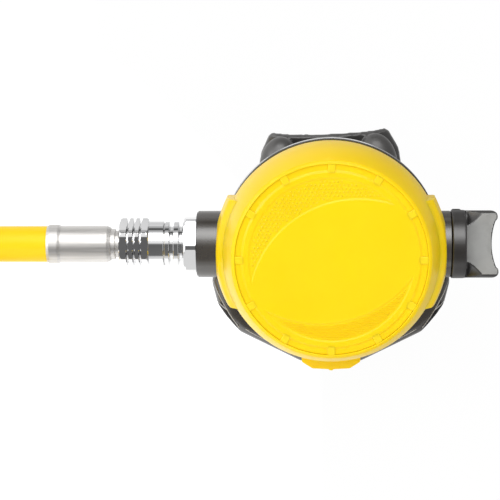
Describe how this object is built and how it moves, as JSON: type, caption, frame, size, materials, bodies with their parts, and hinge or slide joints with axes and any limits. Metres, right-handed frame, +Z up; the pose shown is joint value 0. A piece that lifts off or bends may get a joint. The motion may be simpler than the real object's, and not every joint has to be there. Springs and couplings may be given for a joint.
{
  "type": "scuba second stage regulator with hose",
  "caption": "Second stage scuba regulator with round purge cover, mouthpiece, side knob, exhaust deflector and a low-pressure hose wound into a coil.",
  "frame": {"origin": "on the table under the middle of the second stage and its fittings, without the free hose", "axes": "+Z up from the table, +X along the valve barrel from the hose towards the vane knob, +Y towards the mouthpiece side"},
  "size_m": [0.3137, 0.178, 0.0742],
  "materials": {
    "yellow_cover": "semi-matte",
    "yellow_hose": "smooth",
    "black_case": "gloss",
    "black_knob": "satin",
    "black_silicone": "satin",
    "clear_silicone": "matte",
    "chrome": "mirror",
    "satin_nickel": "satin",
    "brass": "machined",
    "spring_steel": "bright",
    "white_acetal": "plain",
    "black_seal": "matte"
  },
  "bodies": {
    "regulator": {"cover_ring": "yellow_cover", "diaphragm_ring": "black_knob", "diaphragm": "clear_silicone", "case_body": "black_case", "valve_tube": "chrome", "tube_cap": "black_knob", "orifice_seat": "brass", "poppet_spring": "spring_steel", "inlet_fitting": "chrome", "inlet_oring": "black_seal", "hose_stem": "satin_nickel", "stem_oring": "black_seal", "near_ferrule": "satin_nickel", "exhaust_deflector": "black_case", "mouthpiece": "black_silicone", "tie_wrap": "black_knob", "hose_free": "yellow_hose", "hose_coil": "yellow_hose", "far_ferrule": "satin_nickel", "far_fitting": "chrome", "far_oring": "black_seal"},
    "purge": {"purge_plate": "yellow_cover"},
    "disc": {"diaphragm_disc": "spring_steel"},
    "lever_arm": {"lever": "spring_steel"},
    "poppet_group": {"poppet": "white_acetal", "poppet_seat": "black_seal", "lever_nut": "brass"},
    "knob": {"vane": "black_knob", "vane_knob": "black_knob", "vane_oring": "black_seal"},
    "nut": {"swivel_nut": "chrome"},
    "flap": {"exhaust_valve": "black_silicone"}
  },
  "joints": [
    {"name": "purge_press", "type": "slide", "parent": "regulator", "child": "purge", "axis": [0, 0.342, -0.9397], "range_m": [0, 0.003], "stiffness_N_per_m": 900, "springref_m": -0.001},
    {"name": "disc_travel", "type": "slide", "parent": "regulator", "child": "disc", "axis": [0, 0.342, -0.9397], "range_m": [0, 0.0031]},
    {"name": "lever_swing", "type": "hinge", "parent": "regulator", "child": "lever_arm", "pos_m": [0.02955, -0.00422, 0.04742], "axis": [0, 0.9397, 0.342], "range_deg": [-10.5, 0]},
    {"name": "poppet_travel", "type": "slide", "parent": "regulator", "child": "poppet_group", "axis": [1, 0, 0], "range_m": [0, 0.0015]},
    {"name": "knob_turn", "type": "hinge", "parent": "regulator", "child": "knob", "pos_m": [0.06505, -0.00152, 0.04], "axis": [1, 0, 0], "range_deg": [0, 60]},
    {"name": "nut_turn", "type": "hinge", "parent": "regulator", "child": "nut", "pos_m": [-0.04395, -0.00152, 0.04], "axis": [1, 0, 0], "continuous": true},
    {"name": "flap_lift", "type": "slide", "parent": "regulator", "child": "flap", "axis": [0, 0.342, -0.9397], "range_m": [0, 0.001], "stiffness_N_per_m": 60, "springref_m": -0.0005}
  ],
  "couplings": [
    {"joint": "disc_travel", "follows": "purge_press", "ratio": 1},
    {"joint": "lever_swing", "follows": "purge_press", "rad_per_m": -59},
    {"joint": "poppet_travel", "follows": "purge_press", "ratio": 0.5}
  ]
}
